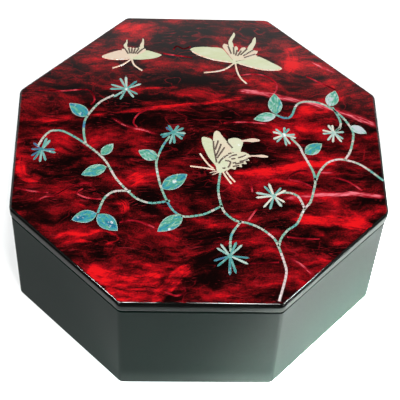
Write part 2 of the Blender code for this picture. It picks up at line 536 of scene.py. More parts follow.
def closeTop(points, normals, faces, count):
    # a grid of rows inside the last ring of count points, so that the ground can carry its marks
    columns = lidSizes["columns"]
    loopStart = len(points) - count
    rows = count // 2 - columns
    grid = [[loopStart + column for column in range(columns + 1)]]
    for row in range(1, rows):
        left, right = loopStart + count - row, loopStart + columns + row
        line = [left]
        for column in range(1, columns):
            share = column / columns
            x = points[left][0] * (1 - share) + points[right][0] * share
            line.append(len(points))
            points.append((x, points[right][1], groundTop))
            normals.append((0, 0, 1))
        grid.append(line + [right])
    grid.append([loopStart + 2 * columns + rows - column for column in range(columns + 1)])
    for near, far in zip(grid, grid[1:]):
        for column in range(columns):
            faces.append((near[column], near[column + 1], far[column + 1], far[column]))


def storeGround(piece, points):
    # where each point lies in the marks and zones, and how far in from the lid's edge
    places = np.array(points)[:, :2] / mm
    onTop = np.array(points)[:, 2] > groundTop - lidSizes["markedDepth"]
    facings = [math.radians(45 * side) for side in range(8)]
    reach = np.max([places @ np.array([math.cos(a), math.sin(a)]) for a in facings], axis=0)
    storeValues(piece, "edgeDistance", np.where(onTop, lidHalf / mm - reach, 0.0))
    for name, strokes in (("brightMark", brightStrokes), ("pinkMark", pinkStrokes)):
        field, along, across = strokeField(places, strokes)
        storeValues(piece, name, np.where(onTop, field, 0.0))
        storeValues(piece, name + "Along", along)
        storeValues(piece, name + "Across", across)
    storeValues(piece, "darkZone", zoneField(places, darkZones))
    storeValues(piece, "redZone", zoneField(places, redZones))


def makeLidBoard():
    rings = lidRings()
    points, normals, faces = ringMesh(rings)
    closeTop(points, normals, faces, len(rings[0]))
    piece = newPiece("lidBoard", points, faces, redBlackGround, normals)
    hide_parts("lid")
    storeGround(piece, points)


redBlackGround = makeRedBlackGround()
makeLidBoard()
print("lid made")


# Thin flat shapes of shell, cut to an outline
class ShellPlates:
    def __init__(self):
        self.points, self.faces, self.place, self.rim = [], [], [], []

    def add(self, flat, faces, border, place, rim, rise=0.0):
        # a plate with its top at the shell's height, closed by its sides and a flat back
        start = len(self.points)
        top, back = shellTop + rise, groundTop - 0.05 * mm
        for (x, y), where, edge in zip(flat, place, rim):
            self.points.append((x * mm, y * mm, top))
            self.place.append(where)
            self.rim.append(edge)
        under = len(self.points)
        for index in border:
            x, y = flat[index]
            self.points.append((x * mm, y * mm, back))
            self.place.append(place[index])
            self.rim.append(rim[index])
        self.faces += [tuple(start + i for i in face) for face in faces]
        count = len(border)
        for i in range(count):
            j = (i + 1) % count
            self.faces.append((under + i, under + j, start + border[j], start + border[i]))
        self.faces.append(tuple(under + i for i in reversed(range(count))))

    def piece(self, name, material, slot):
        made = newPiece(name, self.points, self.faces, material)
        storeValues(made, "shellRim", self.rim)
        attribute = made.data.attributes.new("shellPlace", "FLOAT_VECTOR", "POINT")
        attribute.data.foreach_set("vector", np.asarray(self.place, dtype=np.float32).ravel())
        return made


def addLeafShape(plates, base, tip, width, shade, shape, alongSteps=14, acrossSteps=8, rise=0.0,
                 rimWidth=0.9):
    # a plate between two points, with its half width at each share of its length given by shape
    base, tip = Vector(base), Vector(tip)
    along = tip - base
    across = Vector((-along.y, along.x)).normalized()
    flat, place, rim, grid = [], [], [], []
    for i in range(alongSteps + 1):
        t = i / alongSteps
        half = width / 2 * shape(t)
        line = []
        steps = acrossSteps if half > 1e-4 else 0
        for j in range(steps + 1):
            v = 2 * j / steps - 1 if steps else 0.0
            spot = base + along * t + across * (v * half)
            edge = half * (1 - abs(v))
            line.append(len(flat))
            flat.append((spot.x, spot.y))
            place.append((t * along.length, v * half, shade))
            rim.append(max(0.0, 1 - edge / rimWidth))
        grid.append(line)
    faces = []
    for near, far in zip(grid, grid[1:]):
        for j in range(acrossSteps):
            corners = [near[min(j, len(near) - 1)], far[min(j, len(far) - 1)],
                       far[min(j + 1, len(far) - 1)], near[min(j + 1, len(near) - 1)]]
            face = list(dict.fromkeys(corners))
            faces.append(tuple(reversed(face)))
    lower = [line[0] for line in grid]
    upper = [line[-1] for line in grid]
    border = list(dict.fromkeys(lower + grid[-1] + upper[::-1] + grid[0][::-1]))
    plates.add(flat, faces, border, place, rim, rise)


def pointedLeaf(t):
    return max(0.0, math.sin(math.pi * t ** 0.85)) ** 0.85


def roundPetal(t):
    # narrow at the base, fuller near the round tip
    body = 0.62 + 0.38 * t
    end = math.sqrt(max(0.0, 1 - max(0.0, (t - 0.82) / 0.18) ** 2))
    start = math.sqrt(max(0.0, 1 - max(0.0, (0.12 - t) / 0.12) ** 2))
    return body * end * start


def fanLobe(t):
    # a wedge from a narrow base to a wide round tip
    body = 0.24 + 0.76 * min(1.0, t / 0.8)
    return body * math.sqrt(max(0.0, 1 - max(0.0, (t - 0.8) / 0.2) ** 2))


def roundDisc(t):
    return 2 * math.sqrt(max(0.0, t * (1 - t)))


# Shell finishes
# Painted highlights: the shell's colour turns near white at listed places, partly the nacre's own white
# patches and partly painted glints
paintedGlintSizes = {"outer": 0.8, "inner": 0.2, "whiteness": 0.9}
paintedGlints = [   # white flashes of the shell: place and reach
    (-38, -29.8, 1.6), (-23, -16, 1.8), (62.3, -20, 2.0), (39.5, -95, 2.0), (54.5, -41.5, 1.2),
    (-13.5, -22.5, 2.2), (-40.5, 43, 1.6), (47, 11, 2.4), (-16, -54, 1.5), (-46, -50, 1.6), (22, 3.6, 1.4),
]


def paintedGlintAmount(tree):
    # how strongly each place carries a painted highlight
    place = millimetres(tree)
    s = paintedGlintSizes
    total = 0.0
    for x, y, reach in paintedGlints:
        gap = put(tree, "ShaderNodeVectorMath", {0: place, 1: (x, y, lidTop / mm)}, operation="DISTANCE")
        flash = between(tree, gap.outputs["Value"], reach * s["outer"], reach * s["inner"])
        total = calc(tree, "MAXIMUM", flash, total)
    broken = between(tree, noise(tree, place, 0.9, 2.0, 0.6), 0.35, 0.6)
    return times(tree, total, broken)


def finishShell(tree, shader, colour):
    # painted highlights: the shell's colour is blended towards white at the glints
    white = times(tree, paintedGlintAmount(tree), paintedGlintSizes["whiteness"])
    colour = blendColour(tree, white, colour, tone(246, 248, 248))
    tree.links.new(colour, shader.inputs["Base Color"])
    setShader(shader, Roughness=0.35, Metallic=0.0, IOR=1.5, Specular_IOR_Level=0.0, Coat_Weight=1.0,
              Coat_Roughness=0.04, Coat_IOR=1.45)


def makeShell(name, stops, rimColour, rimAmount, bandScale, contrast=1.6, paintedSparkleAmount=0.5):
    material, tree, shader = newMaterial(name)
    place = put(tree, "ShaderNodeAttribute", attribute_name="shellPlace").outputs["Vector"]
    rim = attributeValue(tree, "shellRim")
    shade = put(tree, "ShaderNodeSeparateXYZ", {0: place}).outputs["Z"]
    onPiece = stretched(tree, place, (1.0, 1.0, 40.0))
    bands = noise(tree, stretched(tree, onPiece, (0.6, 1.6, 1.0), 35), bandScale, 3.0, 0.55, 1.2)
    level = plus(tree, swing(tree, bands, contrast), shade)
    colour = ramp(tree, level, stops)
    # painted highlights: small near-white spots painted into the shell's colour as its sparkle
    paintedSparkle = between(tree, noise(tree, onPiece, 0.55, 2.0, 0.6), 0.60, 0.74)
    colour = blendColour(tree, times(tree, paintedSparkle, paintedSparkleAmount), colour, tone(225, 236, 236))
    edge = between(tree, rim, 0.35, 0.95)
    patchy = between(tree, noise(tree, onPiece, 0.25, 2.0), 0.3, 0.6, 0.35, 1.0)
    edge = times(tree, times(tree, edge, patchy), rimAmount)
    colour = blendColour(tree, edge, colour, rimColour)
    finishShell(tree, shader, colour)
    return material


leafShell = makeShell("leafShell", [
    (0.0, tone(36, 104, 132)), (0.25, tone(60, 148, 166)), (0.5, tone(72, 148, 120)),
    (0.75, tone(130, 184, 166)), (1.0, tone(186, 194, 200))], tone(196, 214, 202), 0.85, 0.3, 2.3)
petalShell = makeShell("petalShell", [
    (0.0, tone(58, 96, 138)), (0.25, tone(58, 140, 136)), (0.5, tone(116, 172, 164)),
    (0.75, tone(180, 200, 190)), (1.0, tone(216, 212, 196))], tone(170, 196, 190), 0.2, 0.25, 0.9)
creamShell = makeShell("creamShell", [
    (0.0, tone(198, 203, 166)), (0.35, tone(208, 212, 184)), (0.65, tone(214, 204, 178)),
    (1.0, tone(222, 194, 176))], tone(226, 200, 178), 0.5, 0.16, 0.9, 0.12)


def makeWarmShell():
    material, tree, shader = newMaterial("warmShell")
    drift = noise(tree, millimetres(tree), 0.4, 2.0)
    colour = ramp(tree, drift, [
        (0.35, tone(240, 190, 160)), (0.5, tone(238, 214, 190)), (0.65, tone(236, 226, 214))])
    finishShell(tree, shader, colour)
    return material


warmShell = makeWarmShell()


def makeEngraving():
    material, tree, shader = newMaterial("engravedLine")
    speck = noise(tree, millimetres(tree), 1.4, 2.0)
    colour = blendColour(tree, speck, tone(62, 52, 46), tone(124, 104, 90))
    tree.links.new(colour, shader.inputs["Base Color"])
    setShader(shader, Roughness=0.5, Specular_IOR_Level=0.0, Coat_Weight=1.0, Coat_Roughness=0.04,
              Coat_IOR=1.45)
    return material


engravedLine = makeEngraving()

# Leaves: base, tip, width and shade, which picks the place on the shell's range of colours
leaves = [
    ((-61.1, 22.5), (-71.9, 31.8), 8.0, 0.38), ((-52.9, -5.0), (-46.7, 3.1), 5.5, 0.6),
    ((-50.0, -12.9), (-63.2, -18.9), 7.5, 0.48), ((-22.5, -7.0), (-32.9, -1.6), 7.5, 0.62),
    ((-20.0, -27.5), (-6.6, -17.4), 9.0, 0.42), ((43.2, 26.1), (42.9, 41.4), 8.0, 0.62),
    ((43.2, 25.4), (30.6, 22.0), 6.5, 0.78), ((73.6, 32.5), (77.7, 44.3), 7.5, 0.8),
    ((84.3, 18.2), (92.9, 13.0), 5.5, 0.95), ((57.9, -2.1), (67.4, 5.2), 7.5, 0.5),
    ((-54.0, -44.5), (-67.0, -48.7), 8.0, 0.25), ((-53.6, -45.0), (-42.9, -55.4), 9.0, 0.25),
    ((-9.3, -45.0), (-22.3, -55.6), 8.5, 0.45),
]


def makeLeaves():
    plates = ShellPlates()
    for number, (base, tip, width, shade) in enumerate(leaves):
        addLeafShape(plates, base, tip, width, shade, pointedLeaf, rise=0.003 * mm * (number % 3))
    plates.piece("shellLeaves", leafShell, "shell_inlay")


# Flowers: a middle, the range of shades, and the tips of the petals
flowers = [
    ((-40.4, 43.2), (0.2, 0.75), [
        (-49.3, 46.4), (-49.9, 43), (-47.5, 36.8), (-43.9, 35), (-36.1, 36.8), (-33.9, 39.3), (-32.1, 47.3),
        (-34.6, 49.4), (-40.9, 52.7), (-44.3, 51.4)]),
    ((-85.2, -1.8), (0.0, 0.6), [
        (-90, 2.9), (-91, -1.5), (-90.7, -6.4), (-89.3, -9.3), (-85.7, -10.7), (-82.6, -9.7), (-77.4, -4),
        (-77.9, -1.7), (-81, 5), (-82.9, 6.4)]),
    ((-14, 11.8), (0.05, 0.8), [
        (-16.8, 17.1), (-18.2, 15.4), (-11.1, 16.8), (-8.2, 15), (-7.1, 11.1), (-7.9, 9.3), (-8.9, 6.8),
        (-13.4, 3.6), (-16.1, 3.2), (-20.4, 7.9), (-21.4, 9.6)]),
    ((46.8, 11.1), (0.35, 1.0), [
        (40.7, 13.2), (42.3, 15.4), (47.5, 16.8), (50, 15.7), (53.2, 11.4), (53.6, 8.9), (50, 4.3),
        (47.9, 3.2), (42.5, 5.7), (40.7, 7.9)]),
    ((74.6, 13.2), (0.5, 1.0), [
        (68.2, 15), (68.2, 12.3), (71.8, 18.9), (74.1, 18.9), (78.9, 17.1), (80.4, 13.9), (79.6, 8.6),
        (78.6, 6.4), (73.6, 6.1), (70.7, 7.5)]),
    ((39.3, -31.4), (0.35, 1.0), [
        (29.6, -29.3), (29.6, -32.6), (34.3, -24.6), (37, -22.9), (43.6, -25.6), (46.1, -27.4), (45.1, -35.6),
        (43.2, -38.6), (36.8, -40.6), (33.4, -39.3)]),
    ((15, -70.4), (0.1, 0.85), [
        (8.2, -65.4), (10.2, -62.9), (18.7, -61.4), (21.6, -63.2), (25, -71.6), (24.3, -75.4), (17.9, -81.4),
        (14.6, -82.5), (8.2, -77.1), (6.4, -73.6)]),
]
flowerSizes = {"petalWidth": 1.45, "start": 0.1, "middle": 2.6, "seed": 11}


def makeFlowers():
    s = flowerSizes
    chance = random.Random(s["seed"])
    plates = ShellPlates()
    for middle, (low, high), tips in flowers:
        middle = Vector(middle)
        for number, tip in enumerate(tips):
            tip = Vector(tip)
            base = middle + (tip - middle).normalized() * s["start"]
            addLeafShape(plates, base, tip, s["petalWidth"] * chance.uniform(0.9, 1.15),
                         chance.uniform(low, high), roundPetal, 8, 2, 0.002 * mm * (number % 4), 0.5)
        half = Vector((s["middle"] / 2, 0))
        addLeafShape(plates, middle - half, middle + half, s["middle"], low + 0.25, roundDisc, 8, 2,
                     0.009 * mm, 0.5)
    plates.piece("shellFlowers", petalShell, "shell_inlay")


makeLeaves()
makeFlowers()
print("leaves and flowers made")


# Vine stems, laid from short straight strips of shell along each path
stems = [
    [(-86.8, 2.1), (-84.6, 7.1), (-81.4, 11.1), (-77.9, 11.8), (-72.9, 10.7), (-62.1, 2.9), (-51.4, -7.9),
     (-44.3, -21.4), (-35.7, -32.1), (-30.7, -35.7), (-25, -37.1), (-17.1, -35.7)],
    [(-48.2, 37.9), (-54.3, 33.6), (-58.6, 27.9), (-62.1, 21.4), (-63.2, 15.7), (-62.9, 9.3), (-61.8, 3.6)],
    [(-16.5, 8), (-20, 1.4), (-22.9, -7.9), (-22.9, -14.3), (-20.4, -27.1), (-15.7, -39.3), (-11.4, -44.3),
     (-7.1, -45.7), (0, -44.6), (4.3, -42.9), (10.7, -38.9)],
    [(-37.9, -29.3), (-42.9, -29.3), (-47.1, -30.7), (-50.7, -35), (-53.2, -42.9)],
    [(11.1, -16.8), (9.9, -28.6), (11.8, -40), (15, -45), (19.3, -48.2), (24.3, -49.3), (30, -51.8),
     (35, -55.7), (39.3, -61.4), (42.9, -75), (43.2, -82.1), (39.3, -96.4)],
    [(15.4, -66.4), (15.4, -62.1), (16.4, -56.4), (20.7, -49.3)],
    [(40.7, -62.9), (42.1, -58.6), (45.7, -53.6), (50.7, -49.3), (55, -40), (58.6, -35), (61.6, -24.3),
     (62.1, -20)],
    [(62.1, -19.3), (61.1, -13.6), (56.4, -1.4), (55, 2.9), (51.4, 7.9)],
    [(62.9, -19.3), (65, -14.3), (68.6, -9.3), (72.1, -6.8), (76.4, -5.7), (80.7, -6.4), (85.7, -8.2),
     (90.7, -11.8), (98.2, -19.2)],
    [(79.6, -5.4), (82.9, 0.7), (85.4, 12.1), (83.6, 18.6), (80, 25), (75, 30.4), (69.3, 34.3), (63.6, 35.7),
     (58.6, 35.4), (55, 32.9), (52.1, 25.7), (50, 23.6), (47.1, 23.6), (44.3, 25)],
    [(75.7, 30.7), (78.6, 22.9), (78.6, 17.9), (76.4, 15)],
    [(44.3, -28.9), (48.6, -29.3), (52.1, -31.4), (53.9, -35), (55, -38.6)],
]
stemSizes = {"strip": 2.3 * mm, "width": 1.25 * mm, "overlap": 1.12, "thickness": 0.08 * mm, "seed": 5}


def pathCurves(name, paths, height, widths=None):
    # one curve object, with a straight-sided spline for each path and a width at each point
    data = bpy.data.curves.new(name, "CURVE")
    data.dimensions = "3D"
    for number, path in enumerate(paths):
        spline = data.splines.new("POLY")
        spline.points.add(len(path) - 1)
        for i, (point, (x, y)) in enumerate(zip(spline.points, path)):
            point.co = (x * mm, y * mm, height, 1.0)
            point.radius = widths[number][i] if widths else 1.0
    guide = bpy.data.objects.new(name, data)
    bpy.context.collection.objects.link(guide)
    return guide


def newTree(name, sizes):
    tree = bpy.data.node_groups.new(name, "GeometryNodeTree")
    face = tree.interface
    face.new_socket("Geometry", in_out="INPUT", socket_type="NodeSocketGeometry")
    face.new_socket("Geometry", in_out="OUTPUT", socket_type="NodeSocketGeometry")
    for size, kind in sizes:
        face.new_socket(size, in_out="INPUT", socket_type="NodeSocket" + kind)
    return tree, tree.nodes.new("NodeGroupInput"), tree.nodes.new("NodeGroupOutput")


def closeTree(tree, real, material, result):
    finished = put(tree, "GeometryNodeSetMaterial", {"Geometry": real.outputs[0], "Material": material})
    tree.links.new(finished.outputs[0], result.inputs[0])


def grow(guide, tree, values, name):
    # run the tree on its guide, and keep the result as a plain mesh
    modifier = guide.modifiers.new(tree.name, "NODES")
    modifier.node_group = tree
    for item in tree.interface.items_tree:
        if item.in_out == "INPUT" and item.name in values:
            modifier[item.identifier] = values[item.name]
    evaluated = guide.evaluated_get(bpy.context.evaluated_depsgraph_get())
    data = bpy.data.meshes.new_from_object(evaluated)
    data.name = name
    guide.modifiers.remove(modifier)
    bpy.data.objects.remove(guide, do_unlink=True)
    piece = bpy.data.objects.new(name, data)
    bpy.context.collection.objects.link(piece)
    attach(piece, "root")
    return piece


def stripTree():
    tree, source, result = newTree("stemStrips", [
        ("Strip length", "Float"), ("Width", "Float"), ("Overlap", "Float"), ("Thickness", "Float"),
        ("Seed", "Int"), ("Material", "Material")])
    ask = source.outputs
    spread = put(tree, "GeometryNodeResampleCurve", {"Curve": ask["Geometry"], "Length": ask["Strip length"]},
                 mode="LENGTH")
    upright = put(tree, "GeometryNodeSetCurveNormal", {"Curve": spread.outputs[0]}, mode="Z_UP")
    spots = put(tree, "GeometryNodeCurveToPoints", {"Curve": upright.outputs[0]}, mode="EVALUATED")
    length = put(tree, "ShaderNodeMath", {0: ask["Strip length"], 1: ask["Overlap"]}, operation="MULTIPLY")
    size = put(tree, "ShaderNodeCombineXYZ", {
        "X": length.outputs[0], "Y": ask["Width"], "Z": ask["Thickness"]})
    strip = put(tree, "GeometryNodeMeshCube", {"Size": size.outputs[0]})
    turn = put(tree, "FunctionNodeAlignRotationToVector", {"Vector": spots.outputs["Tangent"]}, axis="X")
    laid = put(tree, "GeometryNodeInstanceOnPoints", {
        "Points": spots.outputs["Points"], "Instance": strip.outputs["Mesh"], "Rotation": turn.outputs[0]})
    chance = put(tree, "FunctionNodeRandomValue", {"Seed": ask["Seed"]}, data_type="FLOAT")
    shaded = put(tree, "GeometryNodeStoreNamedAttribute", {
        "Geometry": laid.outputs[0], "Name": "stripShade", "Value": chance.outputs[1]},
        data_type="FLOAT", domain="INSTANCE")
    real = put(tree, "GeometryNodeRealizeInstances", {0: shaded.outputs[0]})
    closeTree(tree, real, ask["Material"], result)
    return tree


def makeStripShell():
    material, tree, shader = newMaterial("stripShell")
    place = millimetres(tree)
    shade = attributeValue(tree, "stripShade")
    drift = noise(tree, place, 0.035, 2.0)
    level = plus(tree, times(tree, shade, 0.42),
                 times(tree, calc(tree, "SUBTRACT", drift, 0.3), 1.3))
    level = plus(tree, level, times(tree, noise(tree, place, 0.5, 2.0), 0.2))
    depth = put(tree, "ShaderNodeSeparateXYZ", {0: place}).outputs["Y"]
    level = plus(tree, level, between(tree, depth, -58.0, -82.0, 0.0, 0.5))
    colour = ramp(tree, level, [
        (0.1, tone(70, 120, 165)), (0.3, tone(95, 165, 160)), (0.5, tone(125, 175, 155)),
        (0.7, tone(190, 190, 178)), (0.9, tone(215, 195, 195))])
    finishShell(tree, shader, colour)
    return material


def makeStems():
    s = stemSizes
    guide = pathCurves("stemGuide", [smoothPath(path) for path in stems], shellTop - s["thickness"] / 2)
    values = {"Strip length": s["strip"], "Width": s["width"], "Overlap": s["overlap"],
              "Thickness": s["thickness"], "Seed": s["seed"], "Material": makeStripShell()}
    grow(guide, stripTree(), values, "shellStems")


makeStems()
print("stems made")


# Flat ribbons along paths, for threads, feelers, warm rims and engraved lines
def ribbonTree():
    tree, source, result = newTree("flatRibbons", [
        ("Width", "Float"), ("Thickness", "Float"), ("Seed", "Int"), ("Material", "Material")])
    ask = source.outputs
    upright = put(tree, "GeometryNodeSetCurveNormal", {"Curve": ask["Geometry"]}, mode="Z_UP")
    chance = put(tree, "FunctionNodeRandomValue", {"Seed": ask["Seed"]}, data_type="FLOAT")
    shaded = put(tree, "GeometryNodeStoreNamedAttribute", {
        "Geometry": upright.outputs[0], "Name": "stripShade", "Value": chance.outputs[1]},
        data_type="FLOAT", domain="CURVE")
    section = put(tree, "GeometryNodeCurvePrimitiveQuadrilateral", {
        "Width": ask["Width"], "Height": ask["Thickness"]})
    ribbon = put(tree, "GeometryNodeCurveToMesh", {
        "Curve": shaded.outputs[0], "Profile Curve": section.outputs[0], "Fill Caps": True})
    real = put(tree, "GeometryNodeRealizeInstances", {0: ribbon.outputs[0]})
    closeTree(tree, real, ask["Material"], result)
    return tree


ribbons = ribbonTree()


def taper(count, middle, start=0.6, end=0.3):
    # widths that swell from the start and fall to the end
    widths = []
    for i in range(count):
        t = i / (count - 1)
        widths.append(middle * min(1.0, start + 3 * t, end + 2.2 * (1 - t)))
    return widths


def makeRibbons(name, paths, middles, height, thickness, material):
    # middles has the width of each path at its middle, in millimetres
    widths = [taper(len(path), middle) for path, middle in zip(paths, middles)]
    guide = pathCurves(name + "Guide", paths, height, widths)
    values = {"Width": 1 * mm, "Thickness": thickness, "Seed": 1, "Material": material}
    return grow(guide, ribbons, values, name)


threadSizes = {"widest": 1.2, "share": 0.26, "rise": 0.002 * mm, "thickness": 0.02 * mm}


def makeThreads():
    # fine red and pink threads in the lacquer, along the thinnest strokes
    s = threadSizes
    material, tree, shader = newMaterial("threadRed")
    drift = noise(tree, millimetres(tree), 0.12, 3.0)
    colour = ramp(tree, drift, [
        (0.38, tone(70, 6, 12)), (0.54, tone(158, 18, 34)), (0.72, tone(222, 84, 98))])
    tree.links.new(colour, shader.inputs["Base Color"])
    setShader(shader, Roughness=0.5, Specular_IOR_Level=0.0)
    chosen = [(smoothPath(points), width) for points, width, strength in brightStrokes + pinkStrokes
              if width <= s["widest"]]
    makeRibbons("lidThreads", [path for path, width in chosen], [width * s["share"] for path, width in chosen],
                groundTop + s["rise"], s["thickness"], material)


makeThreads()
print("threads made")


# Butterflies: outlined wings, fan lobes from a base to a tip, tails, feelers, warm rims and engraved lines
butterflies = {
    "butterflyLeft": {
        "wings": [
            [(-38.2, 66.6), (-42.6, 65.9), (-47.6, 65.7), (-52.6, 66.4), (-55.1, 68), (-51.2, 70.4),
             (-47.6, 72.1), (-44, 72.9), (-41, 70.6)],
            [(-37.8, 66.6), (-34.6, 65.9), (-30.4, 66.1), (-25.2, 67.1), (-20.8, 69.6), (-23.4, 71.2),
             (-27, 72.6), (-29.8, 73.2), (-33, 71)],
        ],
        "fan": (-38, 66.8),
        "lobes": [((-43.6, 74.2), 2.2), ((-41.2, 76.0), 2.4), ((-38.9, 75.6), 1.9), ((-36.9, 75.4), 1.8),
                  ((-34.8, 75.2), 2.1), ((-32.0, 76.2), 2.6), ((-29.8, 74.4), 2.2)],
        "tails": [([(-41.2, 75), (-41.7, 77), (-41.0, 79.2), (-40.9, 81.2)], [1.6, 2.0, 0.9, 0.6]),
                  ([(-31.9, 75), (-32.2, 77.2), (-31.6, 79.8), (-31.6, 82.2)], [1.8, 2.2, 1.3, 0.8]),
                  ([(-37.9, 65.8), (-37.9, 68)], [1.4, 1.5])],
        "feelers": [[(-38.2, 66.2), (-41.2, 63.2), (-44.8, 60.7), (-48.7, 58.9)],
                    [(-38, 66.2), (-36.6, 62.1), (-34.4, 59.6), (-31.7, 57.3)]],
        "rims": [[(-54.6, 67.6), (-51, 66.2), (-46, 65.8), (-40, 66.2)]],
        "lines": [], "lineWidth": 0.1,
        "shades": [0.85, 0.15], "fanShade": 0.85, "tailShade": 0.6,
    },
    "butterflyRight": {
        "wings": [
            [(20.6, 64.8), (14.8, 65.6), (9.8, 66.8), (4.8, 68.6), (-0.2, 71), (-3.8, 73.8), (-4.2, 74.8),
             (-2, 76.2), (2.8, 76.8), (8, 76.6), (14, 75.8), (17.4, 71)],
            [(20.6, 64.8), (26.4, 63.4), (31, 61.6), (36, 60), (42, 59.4), (46.8, 59.8), (48.3, 60.8),
             (46, 63), (42.4, 65.4), (38, 68.4), (34.2, 69.8), (28, 67.4)],
        ],
        "fan": (21, 66.2),
        "lobes": [((15.4, 79.7), 3.6), ((19.4, 78.6), 3.2), ((22.4, 77.9), 2.6), ((24.0, 73.6), 2.0),
                  ((27.7, 77.0), 3.4), ((32.0, 77.4), 3.3), ((35.0, 74.2), 3.3), ((34.6, 70.4), 2.8)],
        "tails": [([(19.6, 77), (19.4, 79.4), (19.2, 81.6), (20.2, 84.4), (21.3, 86.6), (21.3, 88.3)],
                   [2.6, 2.7, 2.0, 1.8, 1.7, 0.8]),
                  ([(30.4, 76), (31.6, 78.4), (32.8, 80.8), (33.2, 83), (33.7, 84.8)],
                   [2.9, 2.9, 2.4, 1.9, 0.8]),
                  ([(21.1, 63.6), (21.1, 67)], [1.8, 1.8])],
        "feelers": [[(20.8, 64.4), (17, 60.6), (12, 58), (3.4, 56.6)],
                    [(21.6, 64.2), (22.4, 58.4), (24.2, 53), (27.6, 48.6)]],
        "rims": [[(-3.2, 73.2), (0, 70.8), (5, 68.4), (10, 66.6), (19, 64.9)],
                 [(24, 64), (31, 61.5), (38, 59.6), (46, 59.6), (47.8, 61)]],
        "lines": [], "lineWidth": 0.1,
        "shades": [0.1, 0.2], "fanShade": 0.85, "tailShade": 0.5,
    },
    "butterflyMiddle": {
        "wings": [
            [(1.6, 8.3), (1.6, 5), (2.8, 0.6), (5, -5.2), (7.4, -9.2), (9.2, -11.6), (9.6, -8), (8.6, -1),
             (7.8, 4.6), (7, 6.9), (5.2, 8.2), (2.8, 8.7)],
            [(9.7, 13.3), (8.4, 11.8), (7.8, 8.6), (7.8, 3.6), (8.4, -2.6), (9.2, -8.4), (10.2, -12),
             (14.6, -7.4), (18.6, -0.6), (16.8, 3), (15, 6.2), (13, 9.4), (11.4, 12.4)],
            [(15.9, 6.8), (17.6, 8), (20.2, 8.4), (22.6, 7.6), (24, 5.8), (23.8, 3.4), (22.8, 0.4),
             (22.2, -1.6), (18.4, -1.6), (16.8, 2)],
            [(14, -9.6), (14.6, -5.4), (17.6, -2.4), (21.2, -1.5), (24.4, -1.7), (26.8, -2.9), (28.1, -4.6),
             (26.2, -5.6), (27.2, -7.4), (24.9, -7.6), (25.6, -9.8), (22.8, -9.8), (23, -12), (20, -11.8),
             (19.4, -13.8), (16.8, -13.2), (14.8, -14.6), (12, -14)],
            [(8.8, -9.4), (9, -12.4), (9.4, -14.8), (10.6, -16.2), (12.4, -15.8), (14.4, -14.2), (15.4, -11),
             (14.8, -7.6), (12, -5.8)],
        ],
        "shades": [0.15, 0.7, 0.4, 0.6, 0.3], "tailShade": 0.95, "lineWidth": 0.13, "lobes": [],
        "tails": [([(23.4, 6.2), (26.2, 6.7), (29.4, 6.9), (32.9, 6.9)], [1.3, 1.6, 2.7, 1.4]),
                  ([(27.6, -4.2), (30.6, -4.1), (34, -4.2), (37.1, -4.6)], [0.9, 1.0, 1.9, 1.1]),
                  ([(9.6, -15), (5.6, -16.2)], [0.8, 0.4]), ([(10.2, -15.8), (6.9, -17.6)], [0.8, 0.4])],
        "feelers": [[(7.6, -13.2), (5.6, -11.4), (3, -7.6), (0.4, -2.9)],
                    [(8.4, -14.2), (4.4, -13.2), (0, -12.5), (-5, -11.8)],
                    [(12.6, -15.4), (14.4, -19.2), (17, -23.6)], [(14.4, -15.2), (16.6, -19), (19, -22.3)]],
        "rims": [],
        "lines": [[(7.9, 6), (8.1, 0.6), (8.8, -4.6), (9.4, -9.2)], [(10.6, 6.4), (9.6, 2.8), (8.8, -0.2)],
                  [(12.1, 4), (10.6, -0.6), (9.1, -4.4)], [(13.9, 1.6), (11.6, -2.6), (9.6, -6)],
                  [(15.8, -3.6), (12.6, -6.2), (10.4, -9.8)], [(15.4, 5.6), (16.8, 3.4), (18.2, 1.2)],
                  [(15.8, -3), (17.6, -2.2)], [(16, -5.6), (18.4, -4), (20.6, -3.4)],
                  [(21, -5.6), (23.8, -4.6), (25.6, -3.6)], [(21.8, -8.2), (24.4, -7.4), (26.6, -6)],
                  [(19.4, -10), (22, -9.2), (24, -8.6)], [(18, -11.8), (20, -11.2), (21.6, -10.9)],
                  [(14, -7.6), (16.8, -8.4), (16.4, -10.6), (15.4, -12.6)], [(17.4, -6.6), (19.6, -6)],
                  [(18, -9.4), (20, -8.8)], [(12.4, -13), (14.2, -12.8)]],
    },
}
butterflySizes = {
    "feeler": 0.8, "rim": 0.42, "edgeStep": 5, "lineStart": 0.42, "lineMiddle": 0.6, "lineEnd": 0.9,
    "wingRise": 0.002 * mm, "lobeRise": 0.001 * mm, "lobeFade": 0.12,
}


def flatOutline(plates, border, shade, rise):
    flat = [(x, y) for x, y in border]
    area = sum(a[0] * b[1] - b[0] * a[1] for a, b in zip(flat, flat[1:] + flat[:1]))
    if area < 0:
        flat.reverse()
    indices = list(range(len(flat)))
    place = [(x, y, shade) for x, y in flat]
    plates.add(flat, [tuple(indices)], indices, place, [0.0] * len(flat), rise)


def tailOutline(path, widths):
    # both sides of a path, at half of its width at each point
    path = [Vector(point) for point in smoothPath([(*p, w) for p, w in zip(path, widths)], steps=4)]
    left, right = [], []
    for i, point in enumerate(path):
        ahead, behind = path[min(i + 1, len(path) - 1)], path[max(i - 1, 0)]
        way = (ahead - behind).to_2d().normalized()
        side = Vector((-way.y, way.x)) * point.z / 2
        left.append((point.x + side.x, point.y + side.y))
        right.append((point.x - side.x, point.y - side.y))
    way = (path[-1] - path[-2]).to_2d().normalized() * path[-1].z / 2
    tip = (path[-1].x + way.x, path[-1].y + way.y)
    return right + [tip] + left[::-1]


